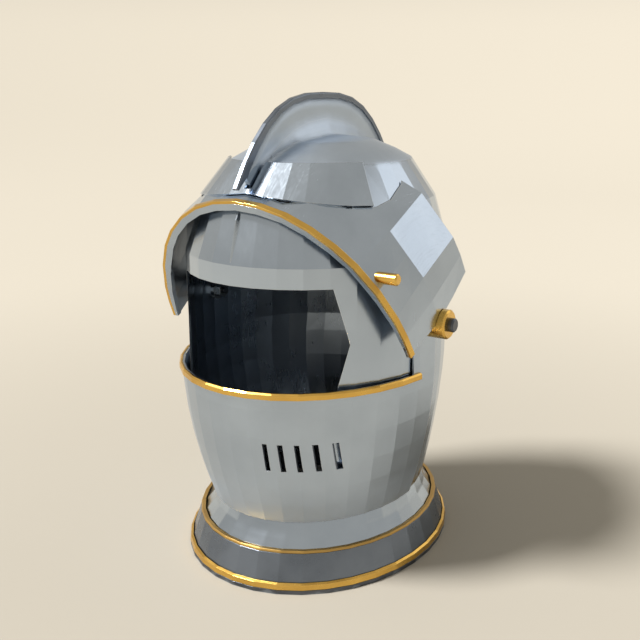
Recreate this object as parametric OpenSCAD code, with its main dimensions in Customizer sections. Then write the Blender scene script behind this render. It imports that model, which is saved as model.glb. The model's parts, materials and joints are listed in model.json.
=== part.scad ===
// Close helmet: a combed skull, a visor and a bevor that turn on the same pair of bolts,
// and a flared collar. Millimetres, +Z up, the face looks along -Y, the wearer's left is +X.
// Origin: middle of the flat underside of the collar. Everything is drawn with the visor raised.

/* [Skull] */
// Half of the skull's width outside, at its widest
skull_half_width = 97.2; // [96:0.2:99]
// From the widest section forward to the brow
skull_front = 114.8; // [113:0.2:116]
// From the widest section back to the nape
skull_back = 94.5; // [92:0.5:97]
// How far the widest section lies behind the origin
skull_centre = 1.8; // [1:0.1:2.6]
// Thickness of the skull plate
skull_t = 1.6; // [1.2:0.1:2]
// Height of the lower edge of the skull and of the bevor
neck_z = 46.2; // [44:0.2:48]
// How much narrower the neck is than the wall above it
neck_taper = 0.187; // [0.17:0.001:0.2]
// Height below which the wall draws in to the neck
taper_z = 154.8; // [150:0.2:158]
// Height of the crease where the dome starts
brow_z = 236.4; // [234:0.2:239]
// Height of the crown of the dome
crown_z = 318; // [314:0.5:320]

/* [Face opening] */
// Height of the upper edge of the face opening
opening_top_z = 222.4; // [216:0.2:226]
// Half of the width of that edge
opening_top_x = 63.7; // [58:0.1:68]
// Height of the corner at the side of the opening
opening_corner_z = 183.3; // [176:0.1:190]
// Distance of that corner from the middle
opening_corner_x = 71.6; // [69:0.1:75]
// Half of the width of the opening at the jaw
opening_jaw_x = 65.8; // [60:0.1:68]

/* [Comb] */
// Height of the top of the comb above the crown
comb_rise = 30; // [24:0.5:34]
// Half of the comb's length
comb_half = 107.9; // [106:0.1:109]
// How far the comb's two ends lie below its top
comb_drop = 61.5; // [60:0.5:63]
// Thickness of the comb's web
comb_t = 3; // [2.4:0.1:3.4]
// Width of the blued border on the comb
border_w = 4.6; // [4:0.1:5]
// Depth of that border at the top of the comb
border_depth = 4; // [3:0.1:4.5]
// Height of the brow keel above the dome
keel_rise = 2.6; // [2:0.1:3]

/* [Visor] */
// How far the visor's rim stands off the skull at the sides
visor_side_room = 8.2; // [7.5:0.1:9]
// How much further forward the rim reaches than the skull
visor_front_room = 13; // [12:0.1:14]
// How far the widest part of the rim lies in front of the origin
visor_centre = 6.4; // [6:0.1:7]
// Height of the lower rim with the visor down
visor_edge_z = 146.9; // [146:0.1:149]
// Height of the crease of the visor with the visor down
visor_crease_z = 185; // [182:0.5:188]
// Height of the upper edge at the sides with the visor down
visor_top_z = 238; // [236:0.5:240]
// Thickness of the visor plate
visor_t = 2; // [1.6:0.1:2.2]
// Thickness of the turned lip at the lower rim
lip_t = 4.8; // [4:0.1:5]
// Height of the brass band along the lower rim
band_h = 4.3; // [3.5:0.1:5]
// How far the brass band stands out
band_t = 2; // [1.5:0.1:2.2]
// How far the visor is turned up in the drawn position
visor_raise = 62.2; // [61.6:0.1:62.4]
// Air left between the raised visor and the dome
visor_air = 0.8; // [0.6:0.1:1]

/* [Pivots] */
// Position of the pivot axis in front of the origin
pivot_front = 13.2; // [12.8:0.1:13.6]
// Height of the pivot axis
pivot_z = 189.6; // [189.2:0.1:190]
// Diameter of the pivot bolts
bolt_d = 6; // [5:0.1:7]
// Radial running clearance of the plates on the bolts
bolt_play = 0.06; // [0.03:0.01:0.09]
// Air between the faces of neighbouring plates
face_air = 0.35; // [0.3:0.01:0.4]
// Diameter of the brass bosses
boss_d = 21.2; // [19:0.1:22]
// Length of the brass bosses
boss_len = 14.7; // [12:0.1:16]
// Diameter of the bolt heads
head_d = 10; // [9:0.1:11]
// How far the bolt heads stand out
head_len = 4.2; // [2:0.1:5]
// Thickness of the bevor's arms
arm_t = 1.2; // [1:0.1:1.4]
// Distance across the flats of the nuts
nut_af = 11; // [10:0.1:13]
// Thickness of the nuts
nut_h = 5; // [4:0.1:6]

/* [Lifting peg] */
// Diameter of the lifting peg
peg_d = 8; // [7:0.1:8.4]
// How far the tip of the peg lies from the middle of the helmet
peg_tip_x = 104.6; // [100:0.1:110]
// Position of the peg in front of the origin with the visor down
peg_front = 76.5; // [74:0.1:79]
// Height of the peg above the visor's lower rim
peg_up = 11.2; // [9:0.1:12]

/* [Bevor] */
// Thickness of the bevor plate
bevor_t = 1.5; // [1.2:0.1:1.7]
// Air between the bevor and the skull's sides
bevor_gap = 0.45; // [0.4:0.01:0.6]
// How much further forward the chin of the bevor reaches than the skull
bevor_front_room = 6.7; // [5.7:0.1:7.2]
// Height of the bevor's upper edge
bevor_top_z = 152.6; // [151:0.1:153]
// Position of the front edge of the arms in front of the origin
arm_front = 27.3; // [25:0.1:29]
// Number of breath slots
slot_count = 5; // [3:1:5]
// Distance between breath slots
slot_pitch = 10.1; // [9:0.1:11]
// Width of a breath slot
slot_w = 3.3; // [2.5:0.1:4]
// Height of a breath slot
slot_h = 21.8; // [16:0.1:26]
// Height of the middle of the slots
slot_z = 103.1; // [98:0.1:108]
// Distance of the first slot from the middle
slot_first_x = 25.7; // [22:0.1:27]

/* [Collar] */
// Height of the thin brass ring
ring_z = 26.9; // [25:0.1:29]
// Half of the collar's width at the thin brass ring
ring_half_width = 88.6; // [87:0.1:90]
// Half of the collar's length at the thin brass ring
ring_half_length = 106.9; // [105:0.1:108]
// How much further out the foot stands than that ring at the sides
foot_side_flare = 11.4; // [10:0.1:13]
// How much further out it stands at the front and the back
foot_end_flare = 13.1; // [11:0.1:15]
// Height of the blackened foot edge
foot_h = 3; // [2:0.1:4]
// Thickness of the collar plates
collar_t = 1.6; // [1.2:0.1:1.8]
// Diameter of the rivet heads at the nape
rivet_d = 7; // [5:0.1:8]

/* [Hidden] */

// The plates are raised in 36 flat columns, one every 10 degrees, with a column edge at the middle.
columns = 36;
step = 360 / columns;
$fn = 96;
far = 400;

pivot_y = -pivot_front;
visor_half_width = skull_half_width + visor_side_room;
visor_reach = skull_front + visor_front_room;
bevor_reach = skull_front + bevor_front_room;
foot_half_width = ring_half_width + foot_side_flare;
foot_half_length = ring_half_length + foot_end_flare;

// The stack of parts on each bolt, outwards from the skull
seat_x = skull_half_width + 0.1;
arm_x = seat_x + face_air;
lug_x = arm_x + arm_t + face_air;
lug_t = visor_t;
boss_x = lug_x + lug_t + face_air;
boss_end_x = boss_x + boss_len;
head_end_x = boss_end_x + head_len;
pad_in_x = seat_x - skull_t - 2.5;
washer_t = 1.2;
nut_x = pad_in_x - washer_t;
bolt_end_x = nut_x - nut_h - 2;
lug_r = boss_d / 2;
arm_r = 11;
pad_r = 9;
bore_d = bolt_d + 2 * bolt_play;

// Shares of the dome's height with the shares of half width, front and back at that height
dome = [[0, 1, 1, 1], [0.451, 0.86, 0.888, 0.985], [0.784, 0.664, 0.66, 0.815],
        [0.865, 0.545, 0.535, 0.66], [0.945, 0.391, 0.383, 0.47], [0.995, 0.1, 0.1, 0.11]];

// A point of an oval ring: half width a, semi-axes front and back, column angle t from the front
function oval(a, front, back, y, t, z, n = 2) =
    let (s = sin(t), c = cos(t), e = 2 / n)
    [a * sign(s) * pow(abs(s), e), y - (c > 0 ? front : back) * sign(c) * pow(abs(c), e), z];

function oval_ring(a, front, back, y, z) =
    [for (k = [0 : columns - 1]) oval(a, front, back, y, k * step, z)];

function mix(p, q, f) = p + (q - p) * f;
function unit(v) = v / norm(v);
function share(z, low, high) = min(1, max(0, (z - low) / (high - low)));

// How wide the wall is at height z, as a share of its full width
function wall_share(z) = 1 - neck_taper * pow(1 - share(z, neck_z, taper_z), 1.85);
// The nape is hollowed between the neck and the wall
function nape(z) = skull_back - 8 * sin(180 * share(z, neck_z, taper_z));

function skull_wall(z, inset) =
    oval_ring(skull_half_width * wall_share(z) - inset, skull_front * wall_share(z) - inset,
              nape(z) - inset, skull_centre, z);
function dome_z(h) = brow_z + h * (crown_z - brow_z);
function dome_ring(d, inset, drop) =
    oval_ring(skull_half_width * d[1] - inset, skull_front * d[2] - inset, skull_back * d[3] - inset,
              skull_centre, dome_z(d[0]) - drop * d[0]);
function dome_point(d, t) =
    oval(skull_half_width * d[1], skull_front * d[2], skull_back * d[3], skull_centre, t, dome_z(d[0]));

// Height of the dome in the middle plane
function dome_top(y) = lookup(y, concat(
    [for (d = dome) [skull_centre - skull_front * d[2], dome_z(d[0])]],
    [for (k = [len(dome) - 1 : -1 : 0]) [skull_centre + skull_back * dome[k][3], dome_z(dome[k][0])]]));

// A closed solid through rings of points that run anticlockwise seen from its far end
module loft(rings) {
    n = len(rings[0]);
    m = len(rings);
    polyhedron(
        points = [for (r = rings) each r],
        faces = concat(
            [[for (k = [0 : n - 1]) k]],
            [for (i = [0 : m - 2], k = [0 : n - 1]) [i * n + k, (i + 1) * n + k, i * n + (k + 1) % n]],
            [for (i = [0 : m - 2], k = [0 : n - 1])
                [i * n + (k + 1) % n, (i + 1) * n + k, (i + 1) * n + (k + 1) % n]],
            [[for (k = [n - 1 : -1 : 0]) (m - 1) * n + k]]),
        convexity = 8);
}

// Outward direction of a grid of points at row i, column j
function grid_normal(g, i, j) =
    let (m = len(g) - 1, n = len(g[0]) - 1)
    unit(cross(g[i][min(j + 1, n)] - g[i][max(j - 1, 0)], g[min(i + 1, m)][j] - g[max(i - 1, 0)][j]));

// A plate that follows a grid of points, from its inner to its outer distance from the grid
module sheet(g, inner, outer) {
    m = len(g);
    n = len(g[0]);
    w = m * n;
    function face(i, j) = i * n + j;
    polyhedron(
        points = concat(
            [for (i = [0 : m - 1], j = [0 : n - 1]) g[i][j] + outer * grid_normal(g, i, j)],
            [for (i = [0 : m - 1], j = [0 : n - 1]) g[i][j] + inner * grid_normal(g, i, j)]),
        faces = concat(
            [for (i = [0 : m - 2], j = [0 : n - 2]) each
                let (a = face(i, j), b = face(i + 1, j), c = face(i, j + 1), d = face(i + 1, j + 1))
                [[a, b, c], [c, b, d], [w + a, w + c, w + b], [w + c, w + d, w + b]]],
            [for (j = [0 : n - 2]) each
                let (a = face(0, j), c = face(0, j + 1), b = face(m - 1, j), d = face(m - 1, j + 1))
                [[a, c, w + c], [a, w + c, w + a], [d, b, w + b], [d, w + b, w + d]]],
            [for (i = [0 : m - 2]) each
                let (a = face(i, 0), b = face(i + 1, 0), c = face(i, n - 1), d = face(i + 1, n - 1))
                [[b, a, w + a], [b, w + a, w + b], [c, d, w + d], [c, w + d, w + c]]]),
        convexity = 10);
}

// A strip of constant section [out, up] carried round an oval, open between the given angles; stretch
// is how much further it stands out at the front and back than at the sides
module strip(section, a, front, back, y, z, angles, closed = false, stretch = 1) {
    m = len(section);
    n = len(angles);
    last = closed ? n - 1 : n - 2;
    polyhedron(
        points = [for (t = angles) each
            [for (s = section) oval(a + s[0], front + stretch * s[0], back + stretch * s[0], y, t, z + s[1])]],
        faces = concat(
            closed ? [] : [[for (s = [m - 1 : -1 : 0]) s]],
            closed ? [] : [[for (s = [0 : m - 1]) (n - 1) * m + s]],
            [for (k = [0 : last], s = [0 : m - 1]) each
                let (p = k * m + s, q = k * m + (s + 1) % m,
                     u = ((k + 1) % n) * m + s, v = ((k + 1) % n) * m + (s + 1) % m)
                [[p, q, v], [p, v, u]]]),
        convexity = 8);
}

all_round = [for (k = [0 : columns - 1]) k * step];

// Turns what is drawn with the visor down into the raised position
module raise(angle) {
    translate([0, pivot_y, pivot_z])
        rotate([-angle, 0, 0])
            translate([0, -pivot_y, -pivot_z])
                children();
}

// A cylinder along X on the pivot axis, from x to x + len
module on_pivot(x, len, d) {
    translate([x, pivot_y, pivot_z])
        rotate([0, 90, 0])
            cylinder(d = d, h = len);
}

module both_sides() {
    children();
    mirror([1, 0, 0])
        children();
}

module side(left) {
    mirror([left ? 0 : 1, 0, 0])
        children();
}

/* Skull */

wall_heights = [for (f = [0, 0.14, 0.28, 0.46, 0.66, 0.86, 1]) mix(neck_z, taper_z, f)];

// The outside of the skull as a solid, moved in by inset
module skull_body(inset, drop, low) {
    loft(concat(
        inset > 0 ? [skull_wall(neck_z - low, inset)] : [],
        [for (z = wall_heights) skull_wall(z, inset)],
        [for (d = dome) dome_ring(d, inset * (1 - 0.4 * d[0]), drop)]));
}

module face_opening() {
    rotate([90, 0, 0])
        linear_extrude(height = far)
            polygon([for (s = [1, -1], p = s > 0 ?
                [[50, neck_z + 12], [opening_jaw_x - 6, 110], [opening_jaw_x, bevor_top_z],
                 [opening_corner_x, opening_corner_z], [opening_top_x, opening_top_z]] :
                [[opening_top_x, opening_top_z], [opening_corner_x, opening_corner_z],
                 [opening_jaw_x, bevor_top_z], [opening_jaw_x - 6, 110], [50, neck_z + 12]])
                [s * p[0], p[1]]]);
}

comb_top_z = crown_z + comb_rise;
function comb_profile(y) = comb_top_z - comb_drop * pow(abs(y - skull_centre) / comb_half, 2.84);
function comb_slope(y) =
    -sign(y - skull_centre) * comb_drop * 2.84 / comb_half * pow(abs(y - skull_centre) / comb_half, 1.84);
comb_stations = [for (f = [-1, -0.9, -0.8, -0.68, -0.54, -0.38, -0.2, 0, 0.2, 0.38, 0.54, 0.68, 0.8, 0.9, 0.985])
    skull_centre + f * comb_half];
// The border is deeper towards its front end
function border_deep(y) = border_depth + 3 * pow(share(-y, 40, comb_half), 2);
function border_point(y, depth) =
    let (s = comb_slope(y), n = [-s, 1] / norm([-s, 1]))
    [y, comb_profile(y)] - depth * n;

// Room for the visor's rim below the nose of the comb, as it turns about the pivots
rim_r = norm([visor_centre + visor_reach + band_t - pivot_front, pivot_z - visor_edge_z]);
channel_r = rim_r + 1.6;
channel_end = 51.6;
channel_half = comb_half / 3.6;
web_foot = 0.74 * comb_half;
web_sink = 5 * skull_t;

module visor_channel() {
    intersection() {
        on_pivot(-channel_half, 2 * channel_half, 2 * channel_r);
        translate([0, pivot_y, pivot_z])
            rotate([-channel_end, 0, 0])
                translate([-channel_half, -far, -far])
                    cube([2 * channel_half, 2 * far, far]);
    }
}

module comb_web() {
    difference() {
        translate([-comb_t / 2, 0, 0])
            rotate([90, 0, 90])
                linear_extrude(height = comb_t)
                    polygon(concat(
                        [for (y = comb_stations) border_point(y, border_deep(y))],
                        [[skull_centre + web_foot, dome_top(skull_centre + web_foot) - web_sink],
                         [-web_foot, dome_top(-web_foot) - web_sink]]));
        visor_channel();
    }
}

// The foot of the web spreads into the crown
flare_foot = 14;
flare_h = 11.5;
flare_stations = [for (f = [-1, -0.8, -0.6, -0.35, 0, 0.35, 0.6, 0.8, 1]) f];
function flare_y(f) = 6 + f * 72;
function flare_side(f, h) = comb_t / 2 + 0.3 + (flare_foot * (1 - 0.9 * f * f)) * pow(1 - h, 2.6);
function flare_z(f, h) = dome_top(flare_y(f)) - 4 * (1 - h) + flare_h * (1 - 0.85 * f * f) * h;

module comb_flare() {
    loft([for (f = flare_stations) concat(
        [for (h = [0, 0.2, 0.42, 0.7, 1]) [-flare_side(f, h), flare_y(f), flare_z(f, h)]],
        [for (h = [1, 0.7, 0.42, 0.2, 0]) [flare_side(f, h), flare_y(f), flare_z(f, h)]])]);
}

keel_low = brow_z + 2;
keel_high = brow_z + 36;
module brow_keel() {
    loft([for (f = [0, 0.4, 0.8, 1])
        let (z = mix(keel_low, keel_high, f),
             y = mix(skull_centre - skull_front, skull_centre - skull_front * dome[1][2],
                     share(z, brow_z, dome_z(dome[1][0]))),
             rise = keel_rise * min(f / 0.7, 1) * (f > 0.9 ? 0.55 : 1),
             w = 1.1 + 1.1 * f)
        [[-w, y + 1.2, z], [-0.4, y - rise - 0.1, z], [0.4, y - rise - 0.1, z], [w, y + 1.2, z]]]);
}

module skull() {
    color("silver")
    difference() {
        union() {
            difference() {
                union() {
                    skull_body(0, 0, 0);
                    comb_web();
                    comb_flare();
                    brow_keel();
                }
                skull_body(skull_t, skull_t, 2);
                face_opening();
            }
            both_sides()
                on_pivot(pad_in_x, seat_x - pad_in_x, 2 * pad_r);
        }
        both_sides()
            on_pivot(pad_in_x - 1, 10, bolt_d + 0.04);
        nape_holes();
    }
}

module comb_border() {
    half = border_w / 2;
    color("slategray")
    difference() {
        loft([for (y = comb_stations)
            let (low = border_point(y, border_deep(y)), mid = border_point(y, 0.9), top = border_point(y, 0))
            [[half, low[0], low[1]], [-half, low[0], low[1]], [-half, mid[0], mid[1]],
             [-half + 0.8, top[0], top[1]], [half - 0.8, top[0], top[1]], [half, mid[0], mid[1]]]]);
        visor_channel();
    }
}

/* Visor, drawn lowered and then raised */

visor_rows = [visor_edge_z, visor_edge_z + band_h, mix(visor_edge_z, visor_crease_z, 0.6), visor_crease_z,
    mix(visor_crease_z, visor_top_z, 0.5), visor_top_z];
visor_angles = [0, 10, 20, 30, 40, 49, 60, 71];
flat_angles = [0, 20, 49, 71];
rear_shares = [0.5, 1];

// Half width, reach and squareness of the visor's three ruling rows
rim_row = [visor_half_width, visor_reach, 2];
crease_row = [visor_half_width + 5.6, visor_reach - 6.1, 2.6];
top_row = [visor_half_width + 4.8, visor_reach - 10.8, 2.45];

// How far the rear edge of the visor lies in front of the origin at height z
function rear_y(z) = -pivot_front - lookup(z, [[visor_edge_z, rear_low], [visor_crease_z, 6.1],
    [200, 5.7], [visor_top_z, 9.1]]);
rear_low = 4.8;

function row_point(r, t, z) = oval(r[0], r[1], r[1], -visor_centre, t, z, r[2]);
// Above the rim the plate is flat between a few columns only
function flat_point(r, t, z) =
    let (k = max([for (i = [0 : len(flat_angles) - 2]) if (flat_angles[i] <= t) i]),
         a = flat_angles[k], b = flat_angles[k + 1])
    mix(row_point(r, a, z), row_point(r, b, z), (t - a) / (b - a));
function row_x(r, y) = r[0] * pow(1 - pow(abs(y + visor_centre) / r[1], r[2]), 1 / r[2]);

function visor_point(z, c) =
    let (low = z <= visor_crease_z,
         f = low ? share(z, visor_edge_z, visor_crease_z) : share(z, visor_crease_z, visor_top_z),
         ra = low ? rim_row : crease_row,
         rb = low ? crease_row : top_row,
         n = len(visor_angles))
    c < n ?
        mix(low ? row_point(ra, visor_angles[c], z) : flat_point(ra, visor_angles[c], z),
            flat_point(rb, visor_angles[c], z), f) :
        let (front = mix(low ? row_point(ra, visor_angles[n - 1], z) : flat_point(ra, visor_angles[n - 1], z),
                         flat_point(rb, visor_angles[n - 1], z), f)[1],
             y = mix(front, rear_y(z), rear_shares[c - n]))
        [mix(row_x(ra, y), row_x(rb, y), f), y, z];

side_columns = len(visor_angles) + len(rear_shares) - 1;
function visor_grid(rows) =
    [for (z = rows) [for (c = [-side_columns : side_columns])
        let (p = visor_point(z, abs(c))) [c < 0 ? -p[0] : p[0], p[1], p[2]]]];

// Behind the last column the plate carries the wall down to the lug
side_grid = [for (z = visor_rows) [for (c = [side_columns - 2 : side_columns]) visor_point(z, c)]];
cup_in = boss_d / 2 + 0.6;
cup_out = cup_in + visor_t;

module visor_cup() {
    intersection() {
        sheet(side_grid, -lug_t - boss_len, -visor_t / 2);
        on_pivot(lug_x, boss_len, 2 * cup_out);
    }
    on_pivot(lug_x, lug_t, 2 * lug_r);
}

// Keeps the lip clear of the bevor's brass rim with the visor down, also where the rim swings up
module bevor_room() {
    side_out = rim_out + 2.4;
    end_out = rim_out + 1.3;
    loft([for (z = [visor_edge_z - 1, bevor_top_z + 6])
        oval_ring(bevor_half(bevor_top_z) + side_out, bevor_reach + end_out, bevor_reach + end_out, 0, z)]);
}

// Part of the visor that lies close over the dome when it is raised
brow_angles = [-60, -50, -40, -30, -20, -10, 0, 10, 20, 30, 40, 50, 60];
brow_t = 1.6;
function brow_point(t, f) = mix(dome_point(dome[1], t), dome_point(dome[2], t), f);
brow_grid = [for (f = [0, 1]) [for (t = brow_angles)
    brow_point(t, f > 0 ? 1 : 0.29 * (1 - min(1, abs(t) / 55)))]];

comb_slot_w = border_w + 1.8;

module visor() {
    color("silver")
    difference() {
        union() {
            difference() {
                raise(visor_raise)
                    union() {
                        sheet(visor_grid(visor_rows), -visor_t, 0);
                        difference() {
                            sheet(visor_grid([visor_rows[0], visor_rows[0] + 4]), -lip_t, -0.2);
                            bevor_room();
                        }
                    }
                loft([for (d = dome) dome_ring(d, -visor_air, -visor_air)]);
                visor_nose_room();
            }
            sheet(brow_grid, visor_air, visor_air + brow_t);
            raise(visor_raise)
                both_sides()
                    visor_cup();
        }
        comb_slot();
        both_sides() {
            on_pivot(lug_x + lug_t, 2 * boss_len, 2 * cup_in);
            on_pivot(lug_x - 5, lug_t + 30, bore_d);
        }
        raise(visor_raise)
            peg_hole();
    }
}

// The brow plate's slot for the foot of the comb
module comb_slot() {
    translate([0, pivot_y, pivot_z])
        rotate([-(channel_end - 1), 0, 0])
            translate([-comb_slot_w / 2, -channel_r - 18, 0])
                cube([comb_slot_w, 50, 60]);
}

// Keeps the plate below the nose of the comb
module visor_nose_room() {
    half = comb_t + border_w / 2 + 2.7;
    difference() {
        on_pivot(-half, 2 * half, far);
        on_pivot(-half - 1, 2 * half + 2, 2 * (channel_r - 0.4));
    }
}

module visor_band() {
    color("goldenrod")
    raise(visor_raise)
        sheet(visor_grid([visor_rows[0], visor_rows[1]]), 0, band_t);
}

peg_z = visor_edge_z + peg_up;
peg_shank_d = 5;
// The flat of the plate that carries the peg: a point on it, its outward direction, and where the
// peg's axis meets it
peg_flat = [visor_point(peg_z, 5), visor_point(peg_z, 6), visor_point(peg_z + 5, 5)];
peg_out = unit(cross(peg_flat[1] - peg_flat[0], peg_flat[2] - peg_flat[0]));
peg_plate_x = peg_flat[0][0] +
    ((peg_flat[0][1] + peg_front) * peg_out[1] + (peg_flat[0][2] - peg_z) * peg_out[2]) / peg_out[0];

module along_peg(x, len, d) {
    translate([x, -peg_front, peg_z])
        rotate([0, 90, 0])
            cylinder(d = d, h = len);
}

module peg_hole() {
    along_peg(peg_plate_x - 20, 40, peg_shank_d);
}

module lifting_peg() {
    round_end = 1;
    color("goldenrod")
    raise(visor_raise) {
        difference() {
            union() {
                along_peg(peg_plate_x - 8, peg_tip_x - round_end - peg_plate_x + 8, peg_d);
                translate([peg_tip_x - round_end, -peg_front, peg_z])
                    rotate([0, 90, 0])
                        cylinder(d1 = peg_d, d2 = peg_d - 2 * round_end, h = round_end);
            }
            sheet(visor_grid(visor_rows), -visor_t - 20, 0);
        }
        difference() {
            along_peg(peg_plate_x - 20, 24, peg_shank_d);
            at_peg_flat(-30.5 - visor_t)
                cylinder(r = 25, h = 30);
        }
        at_peg_flat(-visor_t - 1.05)
            cylinder(d = peg_d, h = 1);
    }
}

// Stands on the plate's outer face where the peg's axis meets it, moved outwards by lift
module at_peg_flat(lift) {
    translate([peg_plate_x, -peg_front, peg_z] + lift * peg_out)
        rotate([0, acos(peg_out[2]), atan2(peg_out[1], peg_out[0])])
            children();
}

/* Pivots */

module boss(left) {
    cham = 1.2;
    color("goldenrod")
    side(left)
        difference() {
            union() {
                on_pivot(boss_x, boss_len - cham, boss_d);
                translate([boss_end_x - cham, pivot_y, pivot_z])
                    rotate([0, 90, 0])
                        cylinder(d1 = boss_d, d2 = boss_d - 2 * cham, h = cham);
            }
            on_pivot(boss_x - 1, boss_len + 2, bolt_d + 0.04);
        }
}

module boss_left() { boss(true); }
module boss_right() { boss(false); }

module bolt(left) {
    cham = 0.8;
    color("dimgray")
    side(left) {
        on_pivot(bolt_end_x, boss_end_x - bolt_end_x, bolt_d);
        on_pivot(boss_end_x, head_len - cham, head_d);
        translate([head_end_x - cham, pivot_y, pivot_z])
            rotate([0, 90, 0])
                cylinder(d1 = head_d, d2 = head_d - 2 * cham, h = cham);
    }
}

module bolt_left() { bolt(true); }
module bolt_right() { bolt(false); }

module washer(left) {
    color("dimgray")
    side(left)
        difference() {
            on_pivot(nut_x, washer_t, 16);
            on_pivot(nut_x - 1, washer_t + 2, bolt_d + 0.04);
        }
}

module washer_left() { washer(true); }
module washer_right() { washer(false); }

module nut(left) {
    color("dimgray")
    side(left)
        difference() {
            translate([nut_x - nut_h, pivot_y, pivot_z])
                rotate([0, 90, 0])
                    cylinder(d = nut_af / cos(30), h = nut_h, $fn = 6);
            on_pivot(nut_x - nut_h - 1, nut_h + 2, bolt_d + 0.04);
        }
}

module nut_left() { nut(true); }
module nut_right() { nut(false); }

/* Bevor */

rear_cut_y = skull_centre;
function bevor_half(z) = skull_half_width * wall_share(z) + bevor_gap + bevor_t;
arm_bend_z = bevor_top_z + 14;
arm_high_z = pivot_z + arm_r + 2;

function bevor_ring(z, inset) =
    oval_ring(bevor_half(z) - inset, bevor_reach * wall_share(z) - inset, bevor_reach - inset, 0, z);
// The arms are thinner than the rest of the plate
function arm_ring(z, inset) =
    oval_ring(arm_x + arm_t - inset, bevor_reach - inset, bevor_reach - inset, 0, z);

bevor_heights = [for (z = wall_heights) min(z, bevor_top_z)];

module bevor_body(inset) {
    low = inset > 0 ? [bevor_ring(neck_z, inset) - [for (k = all_round) [0, 0, 1]]] : [];
    high = inset > 0 ? 1 : 0;
    loft(concat(
        low,
        [for (z = bevor_heights) bevor_ring(z, inset)],
        [arm_ring(arm_bend_z, min(inset, arm_t)), arm_ring(arm_high_z + high, min(inset, arm_t))]));
}

// Side view of what is left of the bevor: the plate below its edge and the two arms
module bevor_side() {
    polygon([[rear_cut_y, neck_z - 1], [rear_cut_y, pivot_z - 2], [pivot_y, pivot_z],
             [pivot_y - arm_r * 0.97, pivot_z - 2], [-arm_front, arm_bend_z + 6],
             [-arm_front, bevor_top_z], [-far, bevor_top_z], [-far, neck_z - 1]]);
}

module bevor_slots() {
    for (k = [0 : slot_count - 1])
        translate([slot_first_x + k * slot_pitch - slot_w / 2, -far / 2, slot_z - slot_h / 2])
            cube([slot_w, far / 2, slot_h]);
}

module bevor() {
    color("silver")
    difference() {
        union() {
            difference() {
                intersection() {
                    difference() {
                        bevor_body(0);
                        bevor_body(bevor_t);
                    }
                    translate([-far / 2, 0, 0])
                        rotate([90, 0, 90])
                            linear_extrude(height = far)
                                bevor_side();
                }
                both_sides()
                    on_pivot(arm_x - 6, 12, 2 * arm_r - 1);
            }
            both_sides()
                on_pivot(arm_x, arm_t, 2 * arm_r);
        }
        bevor_slots();
        both_sides()
            on_pivot(arm_x - 5, 20, bore_d);
    }
}

rim_angles = [for (t = [-80 : 10 : 80]) t];
rim_out = 2.4;

// The rim lies against the plate, level with its edge, and its two ends run on over the arms
module bevor_rim() {
    color("goldenrod")
    strip([[0.04, -4.2], [rim_out, -4], [rim_out, -0.6], [1.3, 0.6], [0.04, 0.6]],
          bevor_half(bevor_top_z), bevor_reach * wall_share(bevor_top_z), bevor_reach, 0,
          bevor_top_z, rim_angles);
}

/* Collar */

// The collar's neck stands just inside the skull's wall
neck_inset = skull_t + 0.2;
neck_half = skull_half_width * wall_share(neck_z) - neck_inset;
neck_front = skull_front * wall_share(neck_z) - neck_inset;
neck_back = nape(neck_z) - neck_inset;
function neck_ring(f, inset) =
    let (low = skull_wall(wall_heights[0], neck_inset + inset), high = skull_wall(wall_heights[1], neck_inset + inset))
    [for (k = [0 : columns - 1]) mix(low[k], high[k], f)];

// How far the neck plate reaches down behind the band, and how far it flares over that height
lap_h = 5;
lap_out = 1.9;

// Rings of the collar: inside the skull at the top, flaring to the thin brass ring
function collar_rings(inset, low, high) = [
    oval_ring(ring_half_width + lap_out - inset, ring_half_length + lap_out - inset,
              ring_half_length + lap_out - inset, 0, ring_z - lap_h - low),
    oval_ring(ring_half_width - inset, ring_half_length - inset, ring_half_length - inset, 0, ring_z),
    oval_ring(mix(neck_half, ring_half_width, 0.36) - inset, mix(neck_front, ring_half_length, 0.36) - inset,
              mix(neck_back, ring_half_length, 0.36) - inset, 1, mix(neck_z, ring_z, 0.5)),
    neck_ring(0, inset),
    neck_ring(0.6 + 0.1 * high, inset)];

module collar() {
    color("silver")
    difference() {
        loft(collar_rings(0, 0, 0));
        loft(collar_rings(collar_t, 1, 1));
        nape_holes();
    }
}

foot_rise = ring_z - foot_h;
module collar_band() {
    out = foot_side_flare;
    color("slategray")
    strip([[lap_out + 1, -lap_h - 1], [out - 6, 3 - foot_rise], [out - 5, -foot_rise],
           [out - 0.8, -foot_rise], [out - 2.2, 3 - foot_rise], [collar_t + 0.9, 0], [0.4, 0]],
          ring_half_width, ring_half_length, ring_half_length, 0, ring_z, all_round, closed = true,
          stretch = foot_end_flare / foot_side_flare);
}

module collar_ring() {
    color("goldenrod")
    strip([[0.2, 0], [collar_t + 0.9, 0], [collar_t + 1.2, 0.6], [collar_t + 0.4, 2], [-0.8, 2]],
          ring_half_width, ring_half_length, ring_half_length, 0, ring_z, all_round, closed = true);
}

module foot_ring() {
    color("goldenrod")
    strip([[-0.8, foot_h], [0.2, foot_h + 0.6], [-0.6, foot_h + 4.2], [-2.4, foot_h + 5.2], [-2.2, foot_h + 3]],
          foot_half_width, foot_half_length, foot_half_length, 0, 0, all_round, closed = true);
}

module foot_plan(inset) {
    polygon([for (p = oval_ring(foot_half_width - inset, foot_half_length - inset, foot_half_length - inset, 0, 0))
        [p[0], p[1]]]);
}

module foot_edge() {
    color("dimgray")
    linear_extrude(height = foot_h)
        difference() {
            foot_plan(0);
            foot_plan(7);
        }
}

nape_angles = [150, 160, 170, 180, 190, 200];
rivet_shank_d = 4;
rivet_z = neck_z + 4.5;

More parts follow.
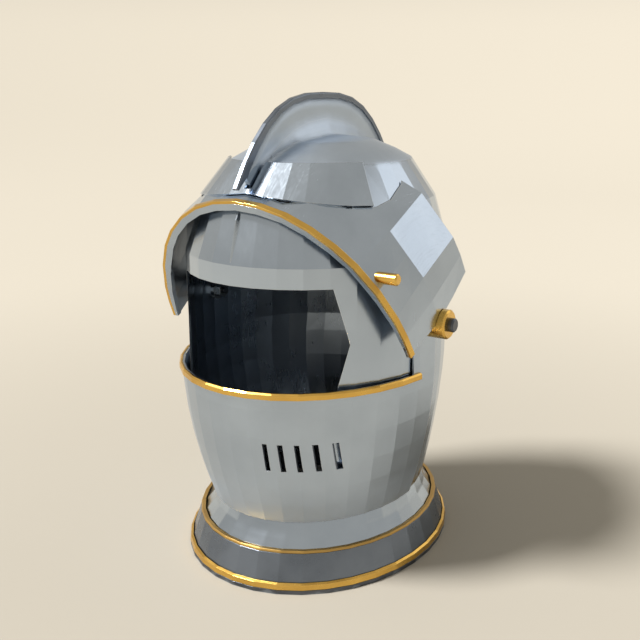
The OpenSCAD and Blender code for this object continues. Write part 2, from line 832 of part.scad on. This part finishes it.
// Stands on the middle of the skull's facet that starts at column angle t, facing out
module at_nape(t) {
    low = skull_wall(wall_heights[0], 0);
    high = skull_wall(wall_heights[1], 0);
    k = t / step;
    f = (rivet_z - wall_heights[0]) / (wall_heights[1] - wall_heights[0]);
    out = unit(cross(low[k + 1] - low[k], high[k] - low[k]));
    translate(mix(mix(low[k], low[k + 1], 0.5), mix(high[k], high[k + 1], 0.5), f))
        rotate([0, acos(out[2]), atan2(out[1], out[0])])
            children();
}

module nape_holes() {
    for (t = nape_angles)
        at_nape(t)
            translate([0, 0, -8])
                cylinder(d = rivet_shank_d, h = 16);
}

// A domed head outside and a small tail inside
module rivet() {
    grip = neck_inset + collar_t + 0.1;
    translate([0, 0, -grip - 1])
        cylinder(d = rivet_shank_d - 0.1, h = grip + 2);
    translate([0, 0, -grip - 1.2])
        cylinder(d = rivet_d - 1.5, h = 1.2);
    translate([0, 0, 0.3])
        cylinder(d1 = rivet_d, d2 = rivet_d * 0.5, h = 1.6);
}

module nape_rivets() {
    color("gray")
    for (t = nape_angles)
        at_nape(t)
            rivet();
}

skull();
comb_border();
visor();
visor_band();
lifting_peg();
boss_left();
boss_right();
bolt_left();
bolt_right();
washer_left();
washer_right();
nut_left();
nut_right();
bevor();
bevor_rim();
collar();
collar_band();
collar_ring();
foot_ring();
foot_edge();
nape_rivets();
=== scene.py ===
import bpy
import json
import math
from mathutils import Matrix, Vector


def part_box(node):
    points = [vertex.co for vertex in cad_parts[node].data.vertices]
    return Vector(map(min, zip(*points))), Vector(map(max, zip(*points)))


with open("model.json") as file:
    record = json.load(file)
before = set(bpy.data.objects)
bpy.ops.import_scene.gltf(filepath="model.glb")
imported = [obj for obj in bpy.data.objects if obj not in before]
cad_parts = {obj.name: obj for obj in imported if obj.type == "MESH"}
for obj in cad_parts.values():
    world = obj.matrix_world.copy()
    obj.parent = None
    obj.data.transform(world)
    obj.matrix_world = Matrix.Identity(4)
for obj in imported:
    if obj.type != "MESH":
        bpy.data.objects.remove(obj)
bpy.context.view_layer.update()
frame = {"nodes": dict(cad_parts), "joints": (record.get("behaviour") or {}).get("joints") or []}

# The skull is one plate of steel, raised over a stake in flat columns and drawn up into the comb.
# Its outside is filed and polished flat by flat, while the crown above the columns and the comb are
# rubbed round and left a little duller. Its inside keeps the dull skin of the fire, and its colour
# there is painted darker still as painted shade.


class Socket:
    """A socket of a material's nodes; arithmetic on it adds Math nodes."""

    def __init__(self, tree, end=None):
        self.tree = tree
        self.end = end

    def node(self, kind, settings=None, sockets=None, output=0):
        """Adds a node, sets it up, gives its sockets values or links, and returns one output."""
        made = self.tree.nodes.new("ShaderNode" + kind)
        for key, value in (settings or {}).items():
            setattr(made, key, value)
        for key, value in (sockets or {}).items():
            if isinstance(value, Socket):
                self.tree.links.new(value.end, made.inputs[key])
            else:
                made.inputs[key].default_value = value
        return Socket(self.tree, made.outputs[output]) if made.outputs else None

    def math(self, operation, first, second):
        return self.node("Math", {"operation": operation}, {0: first, 1: second})

    def __add__(self, other):
        return self.math("ADD", self, other)

    def __radd__(self, other):
        return self.math("ADD", other, self)

    def __sub__(self, other):
        return self.math("SUBTRACT", self, other)

    def __rsub__(self, other):
        return self.math("SUBTRACT", other, self)

    def __mul__(self, other):
        return self.math("MULTIPLY", self, other)

    def __rmul__(self, other):
        return self.math("MULTIPLY", other, self)


def finish(name, surface):
    """A material; surface takes a Socket of its tree and returns the shader's own sockets."""
    made = bpy.data.materials.new(name)
    made.use_nodes = True
    made.node_tree.nodes.clear()
    start = Socket(made.node_tree)
    shader = start.node("BsdfPrincipled", {}, surface(start), "BSDF")
    start.node("OutputMaterial", {}, {"Surface": shader})
    return made


def dress(material, *names):
    """Gives the material to the CAD nodes of these names."""
    for name in names:
        slots = frame["nodes"][name].data.materials
        slots.clear()
        slots.append(material)


def place(s):
    """Where a point lies in the shared frame, in metres."""
    return s.node("TexCoord", output="Object")


def along(s, axis, where=None):
    """How far a point lies along X, Y or Z; where takes the place of the point's own."""
    return s.node("SeparateXYZ", {}, {"Vector": where or place(s)}, axis)


def vector(s, operation, *ends, output="Vector"):
    """Vector Math on one or two vectors."""
    return s.node("VectorMath", {"operation": operation}, dict(enumerate(ends)), output)


def clouds(s, scale, detail=3.0, where=None):
    """Soft noise from 0 to 1, with scale in cells per metre."""
    return s.node("TexNoise", {}, {"Vector": where or place(s), "Scale": scale, "Detail": detail}, "Fac")


def strokes(s, run):
    """Fine file strokes; run is in cells per metre, and small along the axes that they follow."""
    return clouds(s, scale=1.0, detail=2.0, where=vector(s, "MULTIPLY", place(s), run))


def between(s, value, low, high):
    """How far value lies from low to high, kept from 0 to 1."""
    return s.node("MapRange", {"interpolation_type": "SMOOTHSTEP"},
                  {"Value": value, "From Min": low, "From Max": high})


def patches(s, scale):
    """Broad soft patches, where the metal took a little more or less of its finish."""
    return between(s, clouds(s, scale, detail=4.0), low=0.3, high=0.7)


def blend(s, share, first, second):
    """A colour that goes from first to second as share goes from 0 to 1."""
    return s.node("Mix", {"data_type": "RGBA"}, {"Factor": share, "A": first, "B": second}, "Result")


def rounded(s, radius):
    """The normal of a piece with its sharp edges rounded off."""
    return s.node("Bevel", {"samples": 6}, {"Radius": radius})


wear_scale = 160.0
least_wear = 0.4


def worn_edges(s, radius, reach):
    """1 along the sharp edges of a piece, fading over the radius, broken up by small clouds."""
    face = s.node("NewGeometry", output="Normal")
    alike = vector(s, "DOT_PRODUCT", rounded(s, radius), face, output="Value")
    broken = least_wear + clouds(s, wear_scale)
    return between(s, (1 - alike) * reach * broken, low=0.02, high=0.35)


fine_to_coarse = 5.4
coarse_share = 0.6


def grain(s, rounding, depth, scale):
    """The normal of a worked surface: rounded edges, with a coarse and a fine grain across them."""
    coarse = clouds(s, scale, detail=2.0)
    fine = clouds(s, fine_to_coarse * scale, detail=2.0)
    sockets = {"Distance": depth, "Height": fine + coarse_share * coarse, "Normal": rounded(s, rounding)}
    return s.node("Bump", {}, sockets, "Normal")


steel_dark = (0.43, 0.50, 0.595, 1)
steel_light = (0.48, 0.555, 0.655, 1)
steel_edge = (0.60, 0.65, 0.71, 1)
# The inside colours are the dark skin of the fire, made darker still as painted shade.
fire_skin_and_shade_dark = (0.19, 0.215, 0.245, 1)
fire_skin_and_shade_light = (0.25, 0.28, 0.315, 1)
fire_roughness = 0.2
sheet_roughness = 0.14
patch_roughness = 0.04
haze_roughness = 0.05
stroke_roughness = 0.05
edge_polish = 0.03
edge_shine = 0.6
edge_rounding = 0.0004
filing_depth = 0.000003
filing_scale = 260.0
upright_strokes = (420.0, 420.0, 16.0)
level_strokes = (16.0, 16.0, 420.0)
head_middle = (0.0, -0.01, 0.18)


def lining(s):
    """1 on the faces that look towards the wearer's head, 0 on the rest."""
    outwards = vector(s, "NORMALIZE", vector(s, "SUBTRACT", place(s), head_middle))
    normal = s.node("TexCoord", output="Normal")
    facing = 0 - vector(s, "DOT_PRODUCT", outwards, normal, output="Value")
    return between(s, facing, low=0.25, high=0.45)


def plate(s, run, inside_shade_and_dullness, rounding=edge_rounding, depth=filing_depth, scale=filing_scale):
    """Polished steel sheet, file-stroked along run, with a duller inside dark with fire skin and painted
    shade.
    """
    patch = patches(s, scale=22.0)
    haze = clouds(s, scale=75.0, detail=2.0)
    edge = worn_edges(s, radius=0.0009, reach=2.2)
    inside = inside_shade_and_dullness * lining(s)
    steel = blend(s, edge_shine * edge, blend(s, patch, steel_dark, steel_light), steel_edge)
    marks = patch_roughness * patch + haze_roughness * haze + stroke_roughness * strokes(s, run)
    return {
        "Base Color": blend(s, inside, steel, blend(s, patch, fire_skin_and_shade_dark, fire_skin_and_shade_light)),
        "Metallic": 1.0,
        "Roughness": sheet_roughness + marks - edge_polish * edge + fire_roughness * inside,
        "Normal": grain(s, rounding, depth, scale),
    }


crown_rounding = 0.009
rounding_heights = (0.292, 0.304)
crown_roughness = 0.16
crown_heights = (0.2995, 0.3008)


def skull_plate(s):
    rubbed = between(s, along(s, "Z"), *rounding_heights)
    made = plate(s, upright_strokes, inside_shade_and_dullness=0.4, rounding=edge_rounding + crown_rounding * rubbed)
    made["Roughness"] += crown_roughness * between(s, along(s, "Z"), *crown_heights)
    return made


dress(finish("skull_plate", skull_plate), "skull")

# The border of the comb is a folded strip of steel, heated until it turned blue-grey and crimped
# over the edge of the web. Its corners are rubbed back towards bare metal here and there.

blue_dark = (0.16, 0.187, 0.235, 1)
blue_light = (0.20, 0.232, 0.285, 1)
blue_roughness = 0.22
blue_patch_roughness = 0.08
blue_stroke_roughness = 0.06
blue_edge_polish = 0.04
blue_edge_shine = 0.35
blue_depth = 0.000004
border_strokes = (40.0, 160.0, 160.0)


def blued(s, run):
    """Steel blued by heat, with file strokes along run."""
    patch = patches(s, scale=30.0)
    edge = worn_edges(s, radius=0.0009, reach=2.0)
    skin = blend(s, patch, blue_dark, blue_light)
    marks = blue_patch_roughness * patch + blue_stroke_roughness * strokes(s, run)
    return {
        "Base Color": blend(s, blue_edge_shine * edge, skin, steel_dark),
        "Metallic": 1.0,
        "Roughness": blue_roughness + marks - blue_edge_polish * edge,
        "Normal": grain(s, rounding=0.0005, depth=blue_depth, scale=filing_scale),
    }


dress(finish("comb_bluing", lambda s: blued(s, border_strokes)), "comb_border")

# The visor is steel sheet like the skull, bent in broad flats, with its lower edge turned in as a
# lip. Turning on the bolts has drawn faint circles about the pivot on it.

pivot = next(joint["pos_m"] for joint in frame["joints"] if joint["name"] == "visor_pivot")
cells_per_radian = 1.5
visor_circles = 700.0
visor_circle_roughness = 0.05


def circles(s, fine):
    """Fine scratches drawn out along circles about the pivot axis, with fine in cells per metre."""
    offset = vector(s, "SUBTRACT", place(s), pivot)
    across, back, up = [along(s, axis, offset) for axis in "XYZ"]
    reach = s.math("POWER", back * back + up * up, 0.5)
    turn = cells_per_radian * s.math("ARCTAN2", up, back)
    curled = s.node("CombineXYZ", {}, {"X": across * fine, "Y": reach * fine, "Z": turn}, "Vector")
    return between(s, clouds(s, scale=1.0, detail=2.0, where=curled), low=0.45, high=0.75)


def visor_plate(s):
    made = plate(s, upright_strokes, inside_shade_and_dullness=0.9)
    made["Roughness"] += visor_circle_roughness * circles(s, visor_circles)
    return made


dress(finish("visor_plate", visor_plate), "visor")

# The visor's band and its lifting peg are brass. The band is bent round the lower edge and burnished
# on it, and the peg is turned and riveted through the plate. Both are bright where they are handled.

brass_deep = (0.68, 0.41, 0.095, 1)
brass_pale = (0.80, 0.50, 0.12, 1)
brass_bright = (0.95, 0.70, 0.26, 1)
brass_roughness = 0.2
brass_patch_roughness = 0.06
brass_stroke_roughness = 0.04
brass_edge_polish = 0.05
brass_edge_shine = 0.5
tarnish_roughness = 0.05
tarnish_share = 0.35


def brass(s, wear):
    """Brass with tarnish in small clouds, and edges as bright as wear says."""
    patch = patches(s, scale=45.0)
    edge = worn_edges(s, radius=0.0007, reach=wear)
    tarnish = between(s, clouds(s, scale=130.0), low=0.55, high=0.75)
    skin = blend(s, tarnish_share * tarnish, blend(s, patch, brass_deep, brass_pale), brass_deep)
    marks = brass_patch_roughness * patch + brass_stroke_roughness * strokes(s, level_strokes)
    return {
        "Base Color": blend(s, brass_edge_shine * edge, skin, brass_bright),
        "Metallic": 1.0,
        "Roughness": brass_roughness + marks + tarnish_roughness * tarnish - brass_edge_polish * edge,
        "Normal": grain(s, rounding=0.0005, depth=filing_depth, scale=filing_scale),
    }


dress(finish("handled_brass", lambda s: brass(s, wear=2.4)), "visor_band", "lifting_peg")

# The bosses are turned from brass bar and slipped over the bolts. The lathe's fine rings still show
# on their faces.

lathe_rings = 2600.0
lathe_roughness = 0.08


def turned_brass(s):
    made = brass(s, wear=2.0)
    made["Roughness"] += lathe_roughness * circles(s, lathe_rings)
    return made


dress(finish("turned_brass", turned_brass), "boss_left", "boss_right")

# The pivot bolts are turned steel, blackened in hot oil. Their washers and nuts inside the skull
# are plain filed steel, drawn up against the pads.

black_dark = (0.085, 0.094, 0.112, 1)
black_light = (0.13, 0.142, 0.168, 1)
black_roughness = 0.3
black_patch_roughness = 0.1
black_edge_shine = 0.3
black_depth = 0.000004
bolt_lathe_roughness = 0.06


def blackened(s):
    patch = patches(s, scale=60.0)
    edge = worn_edges(s, radius=0.0006, reach=2.0)
    skin = blend(s, patch, black_dark, black_light)
    return {
        "Base Color": blend(s, black_edge_shine * edge, skin, steel_dark),
        "Metallic": 1.0,
        "Roughness": black_roughness + black_patch_roughness * patch,
        "Normal": grain(s, edge_rounding, black_depth, filing_scale),
    }


def turned_black(s):
    made = blackened(s)
    made["Roughness"] += bolt_lathe_roughness * circles(s, lathe_rings)
    return made


dress(finish("turned_black", turned_black), "bolt_left", "bolt_right")
# Their faces that look towards the head are painted dark as shade, like the plates' insides.
dress(finish("filed_steel", lambda s: plate(s, level_strokes, inside_shade_and_dullness=1.0)),
      "washer_left", "washer_right", "nut_left", "nut_right")

# The bevor is steel sheet in the same flat columns as the skull, with five breath slots cut through
# it and filed clean, and two arms that reach up to the bolts. It is handled most, so it is duller
# than the skull, and dullest at its low end. Its brass rim is burnished on.

low_end_roughness = 0.33
upper_polish = 0.2
low_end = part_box("bevor")[0].z
polish_heights = (low_end + 0.0088, low_end + 0.0338)


def bevor_steel(s):
    made = plate(s, upright_strokes, inside_shade_and_dullness=0.6)
    above = between(s, along(s, "Z"), *polish_heights)
    made["Roughness"] += low_end_roughness - upper_polish * above
    return made


dress(finish("bevor_plate", bevor_steel), "bevor")
dress(finish("rim_brass", lambda s: brass(s, wear=2.2)), "bevor_rim")

# The collar is a flared ring of steel sheet, lapped inside the skull. It was filed along the ring
# until its two slopes shine as one, so the upward part of its normal is held down to a limit. Six
# soft steel rivets, hammered over and cleaned up, hold it at the nape.

collar_polish = 0.05
collar_rounding = 0.003
normal_limit = (1.0, 1.0, 0.45)
hammer_roughness = 0.1
hammer_depth = 0.00003
hammer_scale = 450.0


def filed_round(s):
    made = plate(s, level_strokes, inside_shade_and_dullness=0.5, rounding=collar_rounding)
    made["Roughness"] -= collar_polish
    made["Normal"] = vector(s, "NORMALIZE", vector(s, "MINIMUM", made["Normal"], normal_limit))
    return made


def hammered(s):
    made = plate(s, level_strokes, 0.0, rounding=0.0006, depth=hammer_depth, scale=hammer_scale)
    made["Roughness"] += hammer_roughness
    return made


dress(finish("collar_plate", filed_round), "collar")
dress(finish("hammered_steel", hammered), "nape_rivets")

# Below the neck plate come a blued band and two brass rings, one at its top and one at the foot.
# All three are bent from strip and brazed to the collar. The thin ring at the top is seldom touched
# and has gone dull and brown, and the foot ring is rubbed bright.

brown_tarnish = (0.33, 0.22, 0.10, 1)
brown_share = 0.55
brown_roughness = 0.12


def dull_brass(s):
    made = brass(s, wear=0.9)
    made["Base Color"] = blend(s, brown_share, made["Base Color"], brown_tarnish)
    made["Roughness"] += brown_roughness
    return made


dress(finish("band_bluing", lambda s: blued(s, level_strokes)), "collar_band")
dress(finish("ring_brass", dull_brass), "collar_ring")
dress(finish("foot_brass", lambda s: brass(s, wear=2.8)), "foot_ring")

# The foot edge is a blackened steel strip that takes the helmet's weight. Tables have scuffed its
# lowest part back to grey metal.

scuffs_per_metre = 90.0
scuff_thinning = 90.0
scuff_share = 0.35
scuff_roughness = 0.12


def scuffed(s):
    made = blackened(s)
    marks = clouds(s, scuffs_per_metre, detail=2.0) - scuff_thinning * along(s, "Z")
    scuff = between(s, marks, low=0.35, high=0.6)
    made["Base Color"] = blend(s, scuff_share * scuff, made["Base Color"], steel_dark)
    made["Roughness"] += scuff_roughness * scuff
    return made


dress(finish("scuffed_black", scuffed), "foot_edge")

# The helmet stands on a wide sheet of cream studio paper, painted greyer near the helmet and at its
# right-hand end as painted shade. It rises gently and fades into the room's own tone far away, so that
# no horizon shows.

cream_deep = (0.405, 0.381, 0.332, 1)
cream_pale = (0.415, 0.391, 0.341, 1)
# Painted shade: the paper's colour is darker near the helmet and towards its right-hand end.
near_shade_cream = (0.335, 0.315, 0.275, 1)
near_shade_reach = (0.1, 1.1)
right_shade_cream = (0.295, 0.278, 0.243, 1)
right_shade_reach = (0.3, 1.25)
room_tone = (0.25, 0.236, 0.21, 1)
room_reach = (6.5, 20.0)
paper_roughness = 0.9
paper_gloss = 0.1
paper_turns = 96
paper_rings = [(0.7, 0.0), (2.4, 0.0), (3.0, 0.03), (3.6, 0.11), (4.2, 0.23), (12.0, 1.9), (30.0, 5.75)]


def paper(s):
    away = vector(s, "LENGTH", place(s), output="Value")
    cream = blend(s, clouds(s, scale=90.0), cream_deep, cream_pale)
    near_shaded = blend(s, between(s, away, *near_shade_reach), near_shade_cream, cream)
    right_shaded = blend(s, between(s, along(s, "X"), *right_shade_reach), near_shaded, right_shade_cream)
    return {
        "Base Color": blend(s, between(s, away, *room_reach), right_shaded, room_tone),
        "Roughness": paper_roughness,
        "Specular IOR Level": paper_gloss,
    }


turns = [math.tau * k / paper_turns for k in range(paper_turns)]
points = [(0.0, 0.0, 0.0)]
for radius, rise in paper_rings:
    points += [(radius * math.cos(turn), radius * math.sin(turn), rise) for turn in turns]
steps = [(k, (k + 1) % paper_turns) for k in range(paper_turns)]
faces = [(0, 1 + k, 1 + after) for k, after in steps]
for ring in range(len(paper_rings) - 1):
    inner = 1 + ring * paper_turns
    outer = inner + paper_turns
    faces += [(inner + k, outer + k, outer + after, inner + after) for k, after in steps]
sheet = bpy.data.meshes.new("studio_paper")
sheet.from_pydata(points, [], faces)
for face in sheet.polygons:
    face.use_smooth = True
studio_paper = bpy.data.objects.new("studio_paper", sheet)
bpy.context.scene.collection.objects.link(studio_paper)
sheet.materials.append(finish("cream_paper", paper))

# The light is a soft key from the left of the picture, which throws the shadow to the right, a large
# panel low behind on the right, and an even fill from all round.

helmet_middle = Vector((0, 0, 0.17))


def aim(name, light, azimuth, elevation, distance):
    """Puts a light round the helmet; azimuth is counted from its front to its left side."""
    turn = math.radians(azimuth)
    lift = math.radians(elevation)
    back = Vector((math.sin(turn) * math.cos(lift), -math.cos(turn) * math.cos(lift), math.sin(lift)))
    lamp = bpy.data.objects.new(name, light)
    lamp.location = helmet_middle + back * distance
    lamp.rotation_mode = "QUATERNION"
    lamp.rotation_quaternion = back.to_track_quat("Z", "Y")
    bpy.context.scene.collection.objects.link(lamp)


key = bpy.data.lights.new("key", "SUN")
key.angle = math.radians(14)
key.energy = 6.35
key.color = (1.0, 0.97, 0.93)
aim("key", key, azimuth=-44.5, elevation=51, distance=3.0)
panel = bpy.data.lights.new("panel", "AREA")
panel.size = 1.5
panel.energy = 5.6
panel.color = (0.97, 0.98, 1.0)
aim("panel", panel, azimuth=145, elevation=29, distance=2.4)
fill_tone = (0.55, 0.515, 0.45, 1)
fill = bpy.data.worlds.new("fill")
fill.use_nodes = True
fill.node_tree.nodes["Background"].inputs["Color"].default_value = fill_tone
bpy.context.scene.world = fill
bpy.context.scene.view_settings.view_transform = "Standard"

# The camera stands where the photograph was taken from, a little above the helmet and to its left.
# Its place, its aim and its lens were fitted to the helmet's level rims and column edges.

photo_place = Vector((0.35272, -0.55054, 0.34872))
photo_aim = Vector((-0.00078, -0.0005, 0.17326))
lens = bpy.data.cameras.new("photo_view")
lens.sensor_width = 36.0
lens.lens = 48.03
lens.clip_start = 0.01
lens.clip_end = 60.0
camera = bpy.data.objects.new("photo_view", lens)
camera.location = photo_place
camera.rotation_mode = "QUATERNION"
camera.rotation_quaternion = (photo_place - photo_aim).to_track_quat("Z", "Y")
bpy.context.scene.collection.objects.link(camera)
bpy.context.scene.camera = camera
